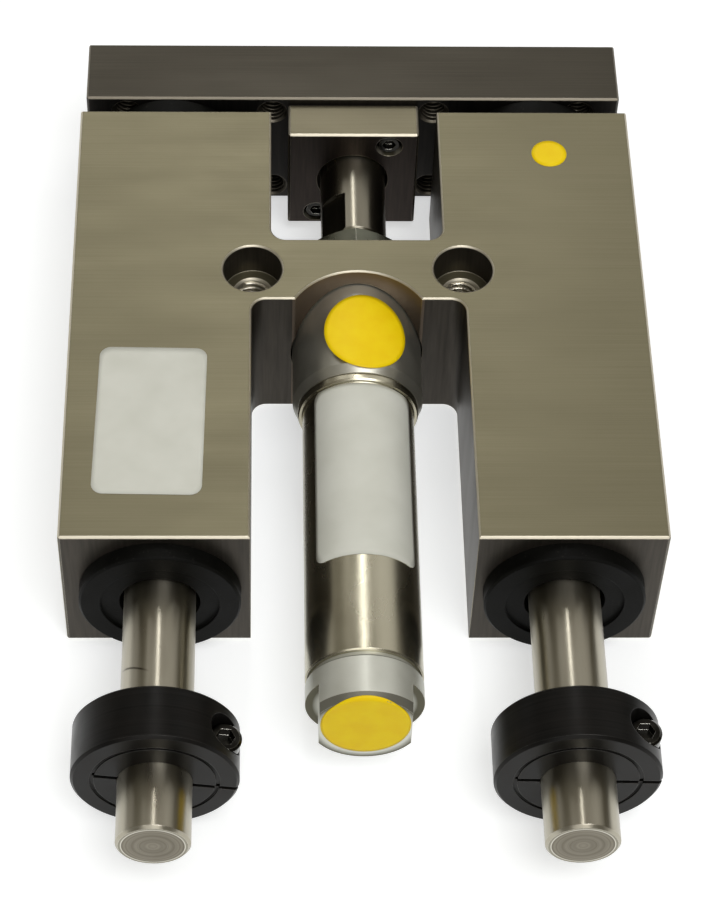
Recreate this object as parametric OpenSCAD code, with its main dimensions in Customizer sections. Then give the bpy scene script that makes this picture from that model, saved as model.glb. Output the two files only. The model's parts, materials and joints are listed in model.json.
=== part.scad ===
// Pneumatic slide table: an H-shaped body that carries two guide shafts in
// linear ball bearings, with a cylinder in its front slot that pushes a tool
// plate through a coupler. Two clamp collars on the shafts stop the stroke.
//
// Frame: +X right, +Y the way the tool plate travels, +Z up. The origin lies
// on the base face, under the middle of the body's web. Millimetres.
// Turned pieces lie along Y, so their profiles are lists of [radius, y].

/* [Body] */
// Length of the body, from its front face to its rear face
body_l = 101.6; // [85:0.1:200]
// Height of the body
body_h = 31.75; // [30:0.05:60]
// Width of the open slot that holds the cylinder
slot_w = 39.5; // [33:0.1:80]
// Thickness of the web that joins the two arms
web_t = 14.6; // [12:0.1:30]
// Length of the arms behind the web
rear_arm_l = 33.1; // [27:0.1:60]
// Metal between the slot and a bearing
inner_wall = 4.8; // [4:0.1:10]
// Metal between a bearing and the side of the body
outer_wall = 6.2; // [5:0.1:12]
// How much thicker the inner wall is behind the web
rear_wall_step = 3.65; // [0:0.05:5]
// Radius in the corners of the slot and the window
pocket_r = 2.8; // [1:0.1:5]
// Chamfer on the outer edges of the body, the plate and the block
edge_chamfer = 0.4; // [0.2:0.1:1]

/* [Body mounting holes] */
// Diameter of the two tapped holes through the web
mount_hole_d = 6.6; // [5:0.1:8.5]
// Diameter of the counterbore over each tapped hole
mount_cbore_d = 11; // [9:0.1:13]
// Depth of the counterbore
mount_cbore_h = 7; // [5:0.1:9]
// Metal between a tapped hole and the bore of a shaft
mount_wall = 3.1; // [2.5:0.1:8]

/* [Guides] */
// Diameter of the guide shafts
shaft_d = 12.7; // [10:0.1:16]
// Length of shaft in front of its collar
shaft_past_collar = 12.3; // [10:0.1:40]
// Outer diameter of a linear bearing
bearing_od = 22.225; // [21:0.005:30]
// Length of a linear bearing
bearing_l = 31.75; // [26:0.05:40]
// Diameter of the bearing balls
ball_d = 2.38; // [2:0.01:2.6]
// Number of ball rows round the shaft
ball_rows = 4; // [3:1:5]
// Number of balls in a row
balls_per_row = 6; // [3:1:8]
// Thickness of the wiper seal behind each bumper
wiper_t = 2; // [1.5:0.1:4]

/* [Bumpers] */
// Outer diameter of the bumpers
bumper_od = 28.575; // [26:0.005:30]
// Thickness of the front bumpers, which the collars meet
front_bumper_t = 3.175; // [2:0.005:8]
// Thickness of the rear bumpers, which the tool plate meets
rear_bumper_t = 4.76; // [2:0.01:8]
// Length of the spigot that holds a bumper in its arm
bumper_spigot_l = 2.5; // [2:0.1:5]
// Diameter of the shallow recess in a bumper's face
bumper_recess_d = 21; // [18:0.1:24]

/* [Stop collars] */
// Outer diameter of the clamp collars
collar_od = 28.575; // [28:0.005:30]
// Width of the clamp collars
collar_w = 10.3; // [9:0.1:14]
// Diameter of the groove in a collar's face
collar_groove_d = 21.3; // [19:0.1:24]
// Width of the clamping slit
collar_slit = 1; // [0.8:0.1:1.8]
// Diameter of the clamp screw
clamp_screw_d = 3.505; // [3:0.005:4.6]
// Distance from the shaft's axis to the clamp screw's axis
clamp_screw_x = 10.7; // [10:0.1:11]
// Turn of the left collar on its shaft, in degrees, the screw's side down
collar_turn_left = 10; // [-30:1:30]
// Turn of the right collar on its shaft, in degrees, the screw's side down
collar_turn_right = 2; // [-30:1:30]

/* [Cylinder] */
// Stroke of the carriage
stroke = 25.4; // [12.7:0.1:76.2]
// Bore of the cylinder
cyl_bore = 19.05; // [15.8:0.05:23]
// Wall of the cylinder's tube
tube_wall = 0.795; // [0.6:0.005:1.2]
// Diameter of the cylinder's head
head_d = 24.2; // [22.5:0.1:27]
// Length of the head, from its seat in the web to the crimp
head_l = 20.6; // [19:0.1:35]
// How deep the head seats in the web
head_seat = 7; // [5:0.1:9]
// Diameter of the threaded nose
nose_d = 12.7; // [12:0.1:16]
// Thickness of the nut on the nose
nut_t = 7.94; // [4:0.01:9]
// Width across the flats of that nut
nut_af = 19.05; // [16:0.01:22]
// Diameter of both air ports
port_d = 8.7; // [7:0.1:10]
// Turn of the head's port away from straight up, in degrees
port_turn = 6.4; // [-30:0.1:30]
// Length of the piston
piston_l = 16; // [14:0.1:30]
// Diameter of the piston rod
rod_d = 6.35; // [5:0.05:7]
// Length of the rear cap behind the tube
cap_l = 9.5; // [8:0.1:14]
// Width across the two wrench flats on the rear cap
cap_af = 15.9; // [13:0.1:18]
// Length of those wrench flats
cap_flat_l = 4.8; // [3:0.1:6]

/* [Carriage] */
// Thickness of the tool plate
plate_t = 14.9; // [12:0.1:30]
// How far the tool plate stays inside the body's outline on each side
plate_inset_x = 0.75; // [0:0.05:5]
// How far the tool plate stays inside the body's top and base
plate_inset_z = 1.59; // [0.5:0.01:5]
// Depth of the seats that hold the shafts in the plate
shaft_seat = 3; // [2:0.1:4]
// Distance between the outer tapped holes of the plate, across it
tool_hole_dx = 88.9; // [84:0.1:96]
// Distance between the inner tapped holes of the plate, across it
tool_hole_inner_dx = 31.75; // [31:0.05:36]
// Distance between the rows of tapped holes of the plate, up it
tool_hole_dz = 21; // [18:0.1:22]
// Diameter of the tapped holes of the plate
tool_hole_d = 5.2; // [4:0.1:5.5]
// Side of the square coupling block
block_w = 25.4; // [25:0.1:29]
// Thickness of the coupling block
block_t = 8.3; // [7:0.1:14]
// Diameter of the rod coupler
coupler_d = 12.7; // [11:0.1:14]
// Diameter of the flange that the block holds
coupler_flange_d = 16.4; // [15:0.1:17]
// Thickness of that flange
coupler_flange_t = 3; // [2.5:0.1:4]
// Width across the wrench flats on the coupler
coupler_af = 11.1; // [9.5:0.1:12]

/* [Hidden] */
$fn = 96;

// Clearances
fit = 0.05;           // running fits and located fits, on the radius
seat_gap = 0.1;       // between pieces that meet at the ends of the stroke
press = 0.01;         // seats and threads, on the radius
slip = 0.025;         // rod bearings, seals and threads that turn, on the radius
loose = 0.3;          // round pieces that float
eps = 1;              // how far a cut runs past the face that it opens
cut_skin = 0.01;      // how far a chamfer's cut starts outside its face

// Small edges
deburr = 0.3;         // broken edges of the slot, the window and the counterbores
hole_chamfer = 0.4;   // mouths of the tapped holes
seal_chamfer = 0.4;
screw_edge_share = 0.08;

// Body, across
bearing_r = bearing_od / 2;
shaft_r = shaft_d / 2;
shaft_x = slot_w / 2 + inner_wall + bearing_r;
body_w = 2 * (shaft_x + bearing_r + outer_wall);
window_w = slot_w - 2 * rear_wall_step;
shaft_z = body_h / 2;

// Body, along
web_front = -web_t / 2;
web_rear = web_t / 2;
body_rear = web_rear + rear_arm_l;
body_front = body_rear - body_l;

// Bearing bores
bearing_seat_l = bumper_spigot_l + wiper_t + bearing_l + fit;
front_bearing_y = body_front + bumper_spigot_l + wiper_t + fit;
rear_bearing_y = body_rear - bumper_spigot_l - wiper_t - fit - bearing_l;
bearing_shoulder = 1.4;
arm_bore_r = bearing_r - bearing_shoulder;
mount_x = shaft_x - arm_bore_r - mount_wall - mount_hole_d / 2;

// Linear bearings
ball_r = ball_d / 2;
ball_clear = 0.03;
ball_pitch_r = shaft_r + ball_clear + ball_r;
race_r = ball_pitch_r + ball_r + ball_clear;
cage_clear = 0.25;
cage_r_in = shaft_r + cage_clear;
cage_r_out = race_r - cage_clear;
bearing_lip = 1.4;
bearing_lip_r = shaft_r + 1.4;
bearing_chamfer = 0.6;
cage_l = bearing_l - 2 * (bearing_lip + fit);
ball_step = (cage_l - ball_d) / balls_per_row;

// Bumpers, collars and shafts
bumper_bore_r = shaft_r + 0.75;
bumper_recess_h = 0.6;
bumper_chamfer = 0.4;
wiper_r = shaft_r + 1.5;
collar_rear = body_front - front_bumper_t - seat_gap - stroke;
collar_front = collar_rear - collar_w;
shaft_front = collar_front - shaft_past_collar;
shaft_chamfer = 0.5;
collar_chamfer = 0.5;
groove_h = 0.4;
groove_w = 0.7;
clamp_head_d = 1.645 * clamp_screw_d;
clamp_head_h = clamp_screw_d;
clamp_seat_z = 4.5;
clamp_screw_l = clamp_seat_z + 7.6;

// Plate and block
plate_front = body_rear + rear_bumper_t + seat_gap;
plate_rear = plate_front + plate_t;
plate_w = body_w - 2 * plate_inset_x;
plate_h = body_h - 2 * plate_inset_z;
block_front = plate_front - block_t;
shaft_rear = plate_front + shaft_seat;
shaft_screw_d = 7.94;
shaft_screw_head_d = 11.9;
shaft_screw_head_h = 7.6;
shaft_screw_l = 19;
shaft_screw_seat = plate_rear - shaft_screw_head_h - 0.5;
shaft_tap_l = shaft_screw_l + 1;
block_screw_d = 2.84;
block_screw_head_d = 4.65;
block_screw_head_h = 2.84;
block_screw_l = 11;
block_screw_x = 7;
block_screw_z = 9.4;
head_sink = 0.5;      // how deep a screw's head lies under the face
block_screw_seat = block_front + block_screw_head_h + head_sink;
socket_share = 0.5;   // of a screw's head, across and deep, that its socket takes
head_gap = 0.25;      // round a screw's head in its counterbore, on the radius
shank_gap = 0.3;      // by which a clearance hole is wider than its screw
tap_spare = 0.5;      // depth of a tapped hole past its screw

// Cylinder, along
tube_r = cyl_bore / 2 + tube_wall;
head_rear = web_front + head_seat;
head_front = head_rear - head_l;
nose_end = web_rear + nut_t + 0.6;
nose_chamfer = 0.8;
spigot_l = 8;
spigot_end = head_front - spigot_l;
end_gap = 0.5;
cap_insert_l = 9;
cap_inner = spigot_end - piston_l - stroke - 2 * end_gap;
tube_end = cap_inner - cap_insert_l;
cap_end = tube_end - cap_l;
port_y = head_rear - 11.6;
head_chamber_r = rod_d / 2 + 1.9;
head_chamfer = 0.3;
port_chamfer = 0.9;
port_sink = 0.75;     // depth of the port's mouth under the head's top line
port_break = 0.6;     // how far a port's bore runs into the chamber
crimp_r = tube_r + 0.85;
crimp_w = 1.6;
crimp_edge = 0.25;
crimp_round = 0.35;
tube_lip = 0.15;
tube_chamfer = 0.25;
relief_r = head_d / 2 + 1.5;
relief_reach = head_seat - 0.4;
seal_section = 1.6;   // depth of the grooves of the tube's seals
seal_groove_near = 2.6;
seal_groove_far = 5.2;
seal_middle = (seal_groove_near + seal_groove_far) / 2;
seal_half_l = 1.2;
insert_lead = 0.4;    // length and depth of the lead-in on pieces pushed into the tube
insert_step = 0.5;
bushing_wall = 1.55;
bushing_l = 11;
bushing_chamfer = 0.3;
bushing_rear = head_rear - 1.5;
rod_seal_y = head_rear - 2;
rod_seal_wall = 2.2;
seal_l = 3.2;
rod_wiper_wall = 1.6;
rod_wiper_y = [nose_end - 1.8, nose_end - 0.6];
nut_crown = 1.6;
nut_crown_l = 0.9;
cap_groove_l = 1;     // between the tube's end and the cap's shoulder
cap_groove_r = tube_r - 0.2;
cap_chamfer = 1.1;
cap_edge = 0.3;
cap_floor = 5;        // metal between the port and the bore
cap_way_r = 1.8;      // the air way through it

// Piston and coupler, in the home position
piston_rear = cap_inner + end_gap;
piston_front = piston_rear + piston_l;
piston_land = 2.5;
piston_groove_l = 3.2;
piston_groove = 2.2;  // depth of the grooves of its seals
piston_seal_l = 3;
coupler_front = nose_end + 2.6;
coupler_hole_r = coupler_d / 2 + 0.65;
coupler_float = 0.15; // between the flange and the plate
coupler_pocket_h = coupler_flange_t + 2 * coupler_float;
coupler_chamfer = 0.6;
coupler_flat_l = 9.5;
coupler_flat_turn = 45;
rod_thread_d = rod_d - 0.75;
rod_thread_l = 9;
rod_hole_r = rod_d / 2 + 0.3;

// ---- Shapes shared by several pieces ----

// A profile of [radius, y] points turned round an axis along Y
module turned(profile, x = 0)
    translate([x, 0, shaft_z]) rotate([-90, 0, 0]) rotate_extrude() polygon(profile);

// A plain cylinder along Y, from y0 to y1
module bar(r, y0, y1, x = 0, z = shaft_z)
    translate([x, y0, z]) rotate([-90, 0, 0]) cylinder(r = r, h = y1 - y0);

// The profile of a solid bar with chamfered ends
function bar_profile(r, y0, y1, c) =
    [[0, y0], [r - c, y0], [r, y0 + c], [r, y1 - c], [r - c, y1], [0, y1]];

// The profile of a ring with its outer edges chamfered
function ring_profile(r_in, r_out, y0, y1, c) =
    [[r_in, y0], [r_out - c, y0], [r_out, y0 + c], [r_out, y1 - c], [r_out - c, y1], [r_in, y1]];

// A rectangle with chamfered corners
module chamfered_square(w, h, c)
    polygon([
        [c - w / 2, -h / 2], [w / 2 - c, -h / 2], [w / 2, c - h / 2], [w / 2, h / 2 - c],
        [w / 2 - c, h / 2], [c - w / 2, h / 2], [-w / 2, h / 2 - c], [-w / 2, c - h / 2],
    ]);

// A block with all of its edges chamfered, centred on X, between y0 and y1 and round shaft_z
module chamfered_block(w, h, y0, y1, c) {
    l = y1 - y0;
    translate([0, (y0 + y1) / 2, shaft_z]) intersection() {
        rotate([90, 0, 0]) linear_extrude(l, center = true) chamfered_square(w, h, c);
        linear_extrude(h, center = true) chamfered_square(w, l, c);
        rotate([0, 90, 0]) linear_extrude(w, center = true) chamfered_square(h, l, c);
    }
}

// A hexagonal prism along Y, with a corner up
module hex_y(af, y0, y1)
    translate([0, y0, shaft_z]) rotate([-90, 30, 0]) cylinder(d = af / cos(30), h = y1 - y0, $fn = 6);

// A socket head cap screw along -Z, its head's seat at the origin
module cap_screw(d, l, head_d, head_h) {
    c = screw_edge_share * head_d;
    difference() {
        union() {
            rotate_extrude() polygon([
                [0, 0], [head_d / 2, 0], [head_d / 2, head_h - c], [head_d / 2 - c, head_h], [0, head_h],
            ]);
            translate([0, 0, -l]) cylinder(d = d, h = l);
        }
        translate([0, 0, head_h * (1 - socket_share)])
            cylinder(d = socket_share * head_d / cos(30), h = head_h, $fn = 6);
    }
}

// A round-cornered pocket in plan, open at y1
module pocket_outline(w, y0, y1, r) {
    translate([-w / 2, y0 + r]) square([w, y1 - y0 - r]);
    translate([r - w / 2, y0]) square([w - 2 * r, 2 * r]);
    for (s = [-1, 1]) translate([s * (w / 2 - r), y0 + r]) circle(r);
}

// The countersink of a hole along Z: a cone that starts outside the face and narrows to r upward
module countersink(r, c)
    translate([0, 0, -cut_skin]) cylinder(r1 = r + c, r2 = r, h = c);

// ---- Body ----

// Breaks the top edge of a round wall of radius r
module round_break(r)
    translate([0, 0, body_h - deburr]) cylinder(r1 = r, r2 = r + deburr + eps, h = deburr + eps);

// Breaks the top edge of a straight wall that runs along Y, centred on the origin
module straight_break(l)
    translate([0, 0, body_h]) rotate([0, 45, 0])
        cube([sqrt(2) * deburr, l, sqrt(2) * deburr], center = true);

// Breaks the top edges of a pocket
module pocket_break(w, y0, y1, r) {
    for (s = [-1, 1]) {
        translate([s * w / 2, (y0 + r + y1) / 2, 0]) straight_break(y1 - y0 - r);
        translate([s * (w / 2 - r), y0 + r, 0]) intersection() {
            round_break(r);
            translate([s > 0 ? 0 : -2 * r, -2 * r, 0]) cube([2 * r, 2 * r, 2 * body_h]);
        }
    }
    translate([0, y0, 0]) rotate([0, 0, 90]) straight_break(w - 2 * r);
}

module pocket_breaks() {
    mirror([0, 1, 0]) pocket_break(slot_w, -web_front, eps - body_front, pocket_r);
    pocket_break(window_w, web_rear, body_rear + eps, pocket_r);
    translate([0, web_front + relief_reach - relief_r, 0]) round_break(relief_r);
}

module web_holes()
    for (s = [-1, 1]) translate([s * mount_x, 0, 0]) {
        translate([0, 0, -eps]) cylinder(d = mount_hole_d, h = body_h + 2 * eps);
        translate([0, 0, body_h - mount_cbore_h]) {
            cylinder(d = mount_cbore_d, h = mount_cbore_h + eps);
            mirror([0, 0, 1]) countersink(mount_hole_d / 2, hole_chamfer);
        }
        countersink(mount_hole_d / 2, hole_chamfer);
        round_break(mount_cbore_d / 2);
    }

// The stepped bore of an arm: a seat for each bearing, with a shoulder between them
module arm_bore(x) {
    bar(arm_bore_r, body_front - eps, body_rear + eps, x);
    bar(bearing_r, body_front - eps, body_front + bearing_seat_l, x);
    bar(bearing_r, body_rear - bearing_seat_l, body_rear + eps, x);
}

// The seat of the cylinder: a flat-bottomed counterbore, a round relief from top to base and the
// nose's hole
module cylinder_seat() {
    bar(head_d / 2 + loose, web_front - eps, head_rear);
    translate([0, web_front + relief_reach - relief_r, -eps]) cylinder(r = relief_r, h = body_h + 2 * eps);
    bar(nose_d / 2 + fit, web_front, web_rear + eps);
}

module slide_body()
    color("#8a8574") difference() {
        chamfered_block(body_w, body_h, body_front, body_rear, edge_chamfer);
        translate([0, 0, -eps]) linear_extrude(body_h + 2 * eps) {
            mirror([0, 1]) pocket_outline(slot_w, -web_front, eps - body_front, pocket_r);
            pocket_outline(window_w, web_rear, body_rear + eps, pocket_r);
        }
        pocket_breaks();
        mirror([0, 0, 1]) translate([0, 0, -body_h]) pocket_breaks();
        for (s = [-1, 1]) arm_bore(s * shaft_x);
        cylinder_seat();
        web_holes();
    }

// ---- Linear bearings, between y0 and y0 + bearing_l ----

module bearing_shell(x, y0)
    color("#b9bcc0") turned([
        [bearing_lip_r, y0], [bearing_r - bearing_chamfer, y0], [bearing_r - fit, y0 + bearing_chamfer],
        [bearing_r - fit, y0 + bearing_l - bearing_chamfer], [bearing_r - bearing_chamfer, y0 + bearing_l],
        [bearing_lip_r, y0 + bearing_l], [bearing_lip_r, y0 + bearing_l - bearing_lip],
        [race_r, y0 + bearing_l - bearing_lip], [race_r, y0 + bearing_lip],
        [bearing_lip_r, y0 + bearing_lip],
    ], x);

// Places its children at each ball of a bearing
module at_balls(x, y0)
    for (row = [0 : ball_rows - 1], i = [0 : balls_per_row - 1])
        translate([x, y0 + bearing_l / 2 + (i - (balls_per_row - 1) / 2) * ball_step, shaft_z])
            rotate([0, (row + 0.5) * 360 / ball_rows, 0]) translate([ball_pitch_r, 0, 0]) children();

module bearing_cage(x, y0) {
    y1 = y0 + bearing_lip + fit;
    color("#4b4e52") difference() {
        bar(cage_r_out, y1, y1 + cage_l, x);
        bar(cage_r_in, y1 - eps, y1 + cage_l + eps, x);
        at_balls(x, y0) rotate([0, 90, 0]) cylinder(r = ball_r + fit, h = 2 * ball_d, center = true);
    }
}

module bearing_balls(x, y0)
    color("#d5d8db") at_balls(x, y0) sphere(r = ball_r, $fn = 24);

// ---- Bumpers and wipers. At the rear they are turned round ----

module bumper(x, face, dir, t)
    color("#1d1d1f") turned([
        [bumper_bore_r, face + dir * (t - bumper_recess_h)],
        [bumper_recess_d / 2, face + dir * (t - bumper_recess_h)],
        [bumper_recess_d / 2, face + dir * t], [bumper_od / 2 - bumper_chamfer, face + dir * t],
        [bumper_od / 2, face + dir * (t - bumper_chamfer)], [bumper_od / 2, face],
        [bearing_r - fit, face], [bearing_r - fit, face - dir * bumper_spigot_l],
        [bumper_bore_r, face - dir * bumper_spigot_l],
    ], x);

module wiper_seal(x, y0)
    color("#2a2a2c") turned([
        [wiper_r, y0], [bearing_r - fit, y0], [bearing_r - fit, y0 + wiper_t - fit],
        [wiper_r, y0 + wiper_t - fit], [shaft_r + fit, y0 + 0.7 * wiper_t],
        [shaft_r + fit, y0 + 0.3 * wiper_t],
    ], x);

module wiper_seals()
    for (s = [-1, 1], y = [body_front + bumper_spigot_l + fit, body_rear - bumper_spigot_l - wiper_t])
        wiper_seal(s * shaft_x, y);

// ---- Cylinder ----

// The head: nose, flange and the spigot inside the tube, with the rod's bearings inside
module cylinder_head()
    color("#b8b9b4") difference() {
        turned([
            [rod_hole_r, nose_end], [nose_d / 2 - nose_chamfer, nose_end],
            [nose_d / 2, nose_end - nose_chamfer], [nose_d / 2, head_rear],
            [head_d / 2 - head_chamfer, head_rear], [head_d / 2, head_rear - head_chamfer],
            [head_d / 2, head_front + crimp_w], [crimp_r, head_front], [cyl_bore / 2 - fit, head_front],
            [cyl_bore / 2 - fit, spigot_end + seal_groove_far],
            [cyl_bore / 2 - seal_section, spigot_end + seal_groove_far],
            [cyl_bore / 2 - seal_section, spigot_end + seal_groove_near],
            [cyl_bore / 2 - fit, spigot_end + seal_groove_near],
            [cyl_bore / 2 - fit, spigot_end + insert_lead], [cyl_bore / 2 - insert_step, spigot_end],
            [head_chamber_r, spigot_end], [head_chamber_r, rod_seal_y - seal_l],
            [rod_hole_r, rod_seal_y - seal_l],
        ]);
        bar(rod_d / 2 + bushing_wall, bushing_rear, bushing_rear + bushing_l);
        bar(rod_d / 2 + rod_seal_wall, rod_seal_y - seal_l - insert_step, rod_seal_y);
        bar(rod_d / 2 + rod_wiper_wall, rod_wiper_y[0], rod_wiper_y[1]);
        translate([0, port_y, shaft_z]) rotate([0, port_turn, 0]) {
            translate([0, 0, head_chamber_r - port_break]) cylinder(d = port_d, h = head_d);
            translate([0, 0, head_d / 2 - port_sink])
                cylinder(r1 = port_d / 2, r2 = port_d / 2 + port_chamfer, h = port_chamfer);
        }
    }

module rod_bushing()
    color("#a9834a") turned(ring_profile(rod_d / 2 + slip, rod_d / 2 + bushing_wall - press,
        bushing_rear, bushing_rear + bushing_l, bushing_chamfer));

module rod_seal()
    color("#232325") turned(ring_profile(rod_d / 2 + slip, rod_d / 2 + rod_seal_wall - press,
        rod_seal_y - seal_l, rod_seal_y, seal_chamfer));

module rod_wiper()
    color("#232325") turned(ring_profile(rod_d / 2 + slip, rod_d / 2 + rod_wiper_wall - press,
        rod_wiper_y[0], rod_wiper_y[1], bushing_chamfer));

module nose_nut()
    color("#9fa1a3") difference() {
        intersection() {
            hex_y(nut_af, web_rear, web_rear + nut_t);
            turned([
                [0, web_rear], [nut_af / 2, web_rear], [nut_af / 2 + nut_crown, web_rear + nut_crown_l],
                [nut_af / 2 + nut_crown, web_rear + nut_t - nut_crown_l], [nut_af / 2, web_rear + nut_t],
                [0, web_rear + nut_t],
            ]);
        }
        bar(nose_d / 2 + slip, web_rear - eps, web_rear + nut_t + eps);
    }

// The tube, rolled over the head at one end
module cylinder_tube()
    color("#a7a59d") turned([
        [cyl_bore / 2, tube_end], [tube_r - tube_chamfer, tube_end], [tube_r, tube_end + tube_chamfer],
        [tube_r, head_front - crimp_w - loose], [tube_r + tube_lip, head_front - crimp_w],
        [crimp_r - crimp_edge, head_front - crimp_w], [crimp_r, head_front - crimp_w + crimp_round],
        [crimp_r, head_front - crimp_round], [crimp_r - crimp_edge, head_front], [cyl_bore / 2, head_front],
    ]);

// The rear cap: a round body with two wrench flats and an axial port
module cylinder_rear_cap() {
    shoulder_y = tube_end - cap_groove_l;
    color("#c4c6c2") difference() {
        turned([
            [0, cap_inner], [cyl_bore / 2 - insert_step, cap_inner],
            [cyl_bore / 2 - fit, cap_inner - insert_lead],
            [cyl_bore / 2 - fit, cap_inner - seal_groove_near],
            [cyl_bore / 2 - seal_section, cap_inner - seal_groove_near],
            [cyl_bore / 2 - seal_section, cap_inner - seal_groove_far],
            [cyl_bore / 2 - fit, cap_inner - seal_groove_far],
            [cyl_bore / 2 - fit, shoulder_y], [cap_groove_r, shoulder_y], [tube_r, shoulder_y - cap_edge],
            [tube_r, cap_end + cap_chamfer], [tube_r - cap_chamfer, cap_end], [0, cap_end],
        ]);
        bar(port_d / 2, cap_end - eps, cap_inner - cap_floor);
        bar(cap_way_r, cap_inner - cap_floor - eps, cap_inner + eps);
        translate([0, cap_end, shaft_z]) rotate([-90, 0, 0]) countersink(port_d / 2, port_chamfer);
        for (s = [-1, 1])
            translate([s > 0 ? cap_af / 2 : -cap_af / 2 - tube_r, cap_end - eps, shaft_z - tube_r])
                cube([tube_r, cap_flat_l + eps, 2 * tube_r]);
    }
}

module tube_seals()
    color("#232325") for (y = [spigot_end + seal_middle, cap_inner - seal_middle])
        turned(ring_profile(cyl_bore / 2 - seal_section + fit, cyl_bore / 2 - press,
            y - seal_half_l, y + seal_half_l, seal_chamfer));

// ---- Piston, rod and coupler ----

module piston()
    color("#b8babc") turned([
        [rod_thread_d / 2 + press, piston_rear], [cyl_bore / 2 - insert_step, piston_rear],
        [cyl_bore / 2 - fit, piston_rear + insert_step], [cyl_bore / 2 - fit, piston_rear + piston_land],
        [cyl_bore / 2 - piston_groove, piston_rear + piston_land],
        [cyl_bore / 2 - piston_groove, piston_rear + piston_land + piston_groove_l],
        [cyl_bore / 2 - fit, piston_rear + piston_land + piston_groove_l],
        [cyl_bore / 2 - fit, piston_front - piston_land - piston_groove_l],
        [cyl_bore / 2 - piston_groove, piston_front - piston_land - piston_groove_l],
        [cyl_bore / 2 - piston_groove, piston_front - piston_land],
        [cyl_bore / 2 - fit, piston_front - piston_land], [cyl_bore / 2 - fit, piston_front - insert_step],
        [cyl_bore / 2 - insert_step, piston_front], [rod_thread_d / 2 + press, piston_front],
    ]);

module piston_seals() {
    side = (piston_groove_l - piston_seal_l) / 2;
    color("#232325")
        for (y = [piston_rear + piston_land + side, piston_front - piston_land - piston_groove_l + side])
            turned(ring_profile(cyl_bore / 2 - piston_groove + fit, cyl_bore / 2 - slip,
                y, y + piston_seal_l, seal_chamfer));
}

// The rod, with a thread at each end for the piston and the coupler
module piston_rod()
    color("#c9cbcc") turned([
        [0, piston_rear + loose], [rod_thread_d / 2, piston_rear + loose], [rod_thread_d / 2, piston_front],
        [rod_d / 2, piston_front], [rod_d / 2, coupler_front], [rod_thread_d / 2, coupler_front],
        [rod_thread_d / 2, coupler_front + rod_thread_l], [0, coupler_front + rod_thread_l],
    ]);

module rod_coupler() {
    flange_y = plate_front - coupler_flange_t - coupler_float;
    color("#bdbdb6") difference() {
        turned([
            [0, coupler_front], [coupler_d / 2 - coupler_chamfer, coupler_front],
            [coupler_d / 2, coupler_front + coupler_chamfer],
            [coupler_d / 2, flange_y], [coupler_flange_d / 2, flange_y],
            [coupler_flange_d / 2, flange_y + coupler_flange_t], [0, flange_y + coupler_flange_t],
        ]);
        bar(rod_thread_d / 2 + press, coupler_front - eps, coupler_front + rod_thread_l + tap_spare);
        translate([0, coupler_front - eps, shaft_z]) rotate([0, coupler_flat_turn, 0]) for (s = [0, 180])
            rotate([0, s, 0]) translate([coupler_af / 2, 0, -coupler_d / 2])
                cube([coupler_d, coupler_flat_l + eps, coupler_d]);
    }
}

// ---- Plate, block and their screws ----

// Places its children at the two screws of the coupling block, +Z of the screw towards -Y
module at_block_screws()
    for (s = [-1, 1])
        translate([s * block_screw_x, block_screw_seat, shaft_z + s * block_screw_z])
            rotate([90, 0, 0]) children();

module coupling_block()
    color("#8c8776") difference() {
        chamfered_block(block_w, block_w, block_front, plate_front, edge_chamfer);
        bar(coupler_hole_r, block_front - eps, plate_front + eps);
        bar(coupler_flange_d / 2 + loose, plate_front - coupler_pocket_h, plate_front + eps);
        at_block_screws() {
            cylinder(r = block_screw_head_d / 2 + head_gap, h = block_screw_head_h + eps);
            translate([0, 0, -block_t]) cylinder(d = block_screw_d + shank_gap, h = 2 * block_t);
        }
    }

module block_screws()
    color("#2b2b2d") at_block_screws()
        cap_screw(block_screw_d, block_screw_l, block_screw_head_d, block_screw_head_h);

module tool_holes()
    for (dx = [tool_hole_dx, tool_hole_inner_dx], sx = [-1, 1], sz = [-1, 1])
        translate([sx * dx / 2, 0, shaft_z + sz * tool_hole_dz / 2]) rotate([-90, 0, 0]) {
            translate([0, 0, plate_front - eps]) cylinder(d = tool_hole_d, h = plate_t + 2 * eps);
            translate([0, 0, plate_front]) countersink(tool_hole_d / 2, hole_chamfer);
            translate([0, 0, plate_rear]) mirror([0, 0, 1]) countersink(tool_hole_d / 2, hole_chamfer);
        }

module tool_plate()
    color("#6e6a60") difference() {
        chamfered_block(plate_w, plate_h, plate_front, plate_rear, edge_chamfer);
        for (s = [-1, 1]) {
            bar(shaft_r + press, plate_front - eps, shaft_rear, s * shaft_x);
            bar(shaft_screw_d / 2 + loose, plate_front - eps, plate_rear + eps, s * shaft_x);
            bar(shaft_screw_head_d / 2 + loose, shaft_screw_seat, plate_rear + eps, s * shaft_x);
        }
        tool_holes();
        at_block_screws() translate([0, 0, -block_screw_l - tap_spare])
            cylinder(d = block_screw_d + slip, h = block_screw_l + tap_spare);
    }

module shaft_screws()
    color("#2b2b2d") for (s = [-1, 1])
        translate([s * shaft_x, shaft_screw_seat, shaft_z]) rotate([-90, 0, 0])
            cap_screw(shaft_screw_d, shaft_screw_l, shaft_screw_head_d, shaft_screw_head_h);

// ---- Guide shafts and stop collars ----

module guide_shaft(x)
    color("#c6c6c2") difference() {
        turned(bar_profile(shaft_r, shaft_front, shaft_rear, shaft_chamfer), x);
        bar(shaft_screw_d / 2 + slip, shaft_rear - shaft_tap_l, shaft_rear + eps, x);
    }

// Turns its children round the axis of a shaft
module turn_on_shaft(x, turn)
    translate([x, 0, shaft_z]) rotate([0, turn, 0]) translate([-x, 0, -shaft_z]) children();

// Places its children at the clamp screw of a collar, its head's seat at the origin
module at_clamp_screw(x)
    translate([x + clamp_screw_x, collar_rear - collar_w / 2, shaft_z + clamp_seat_z]) children();

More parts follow.
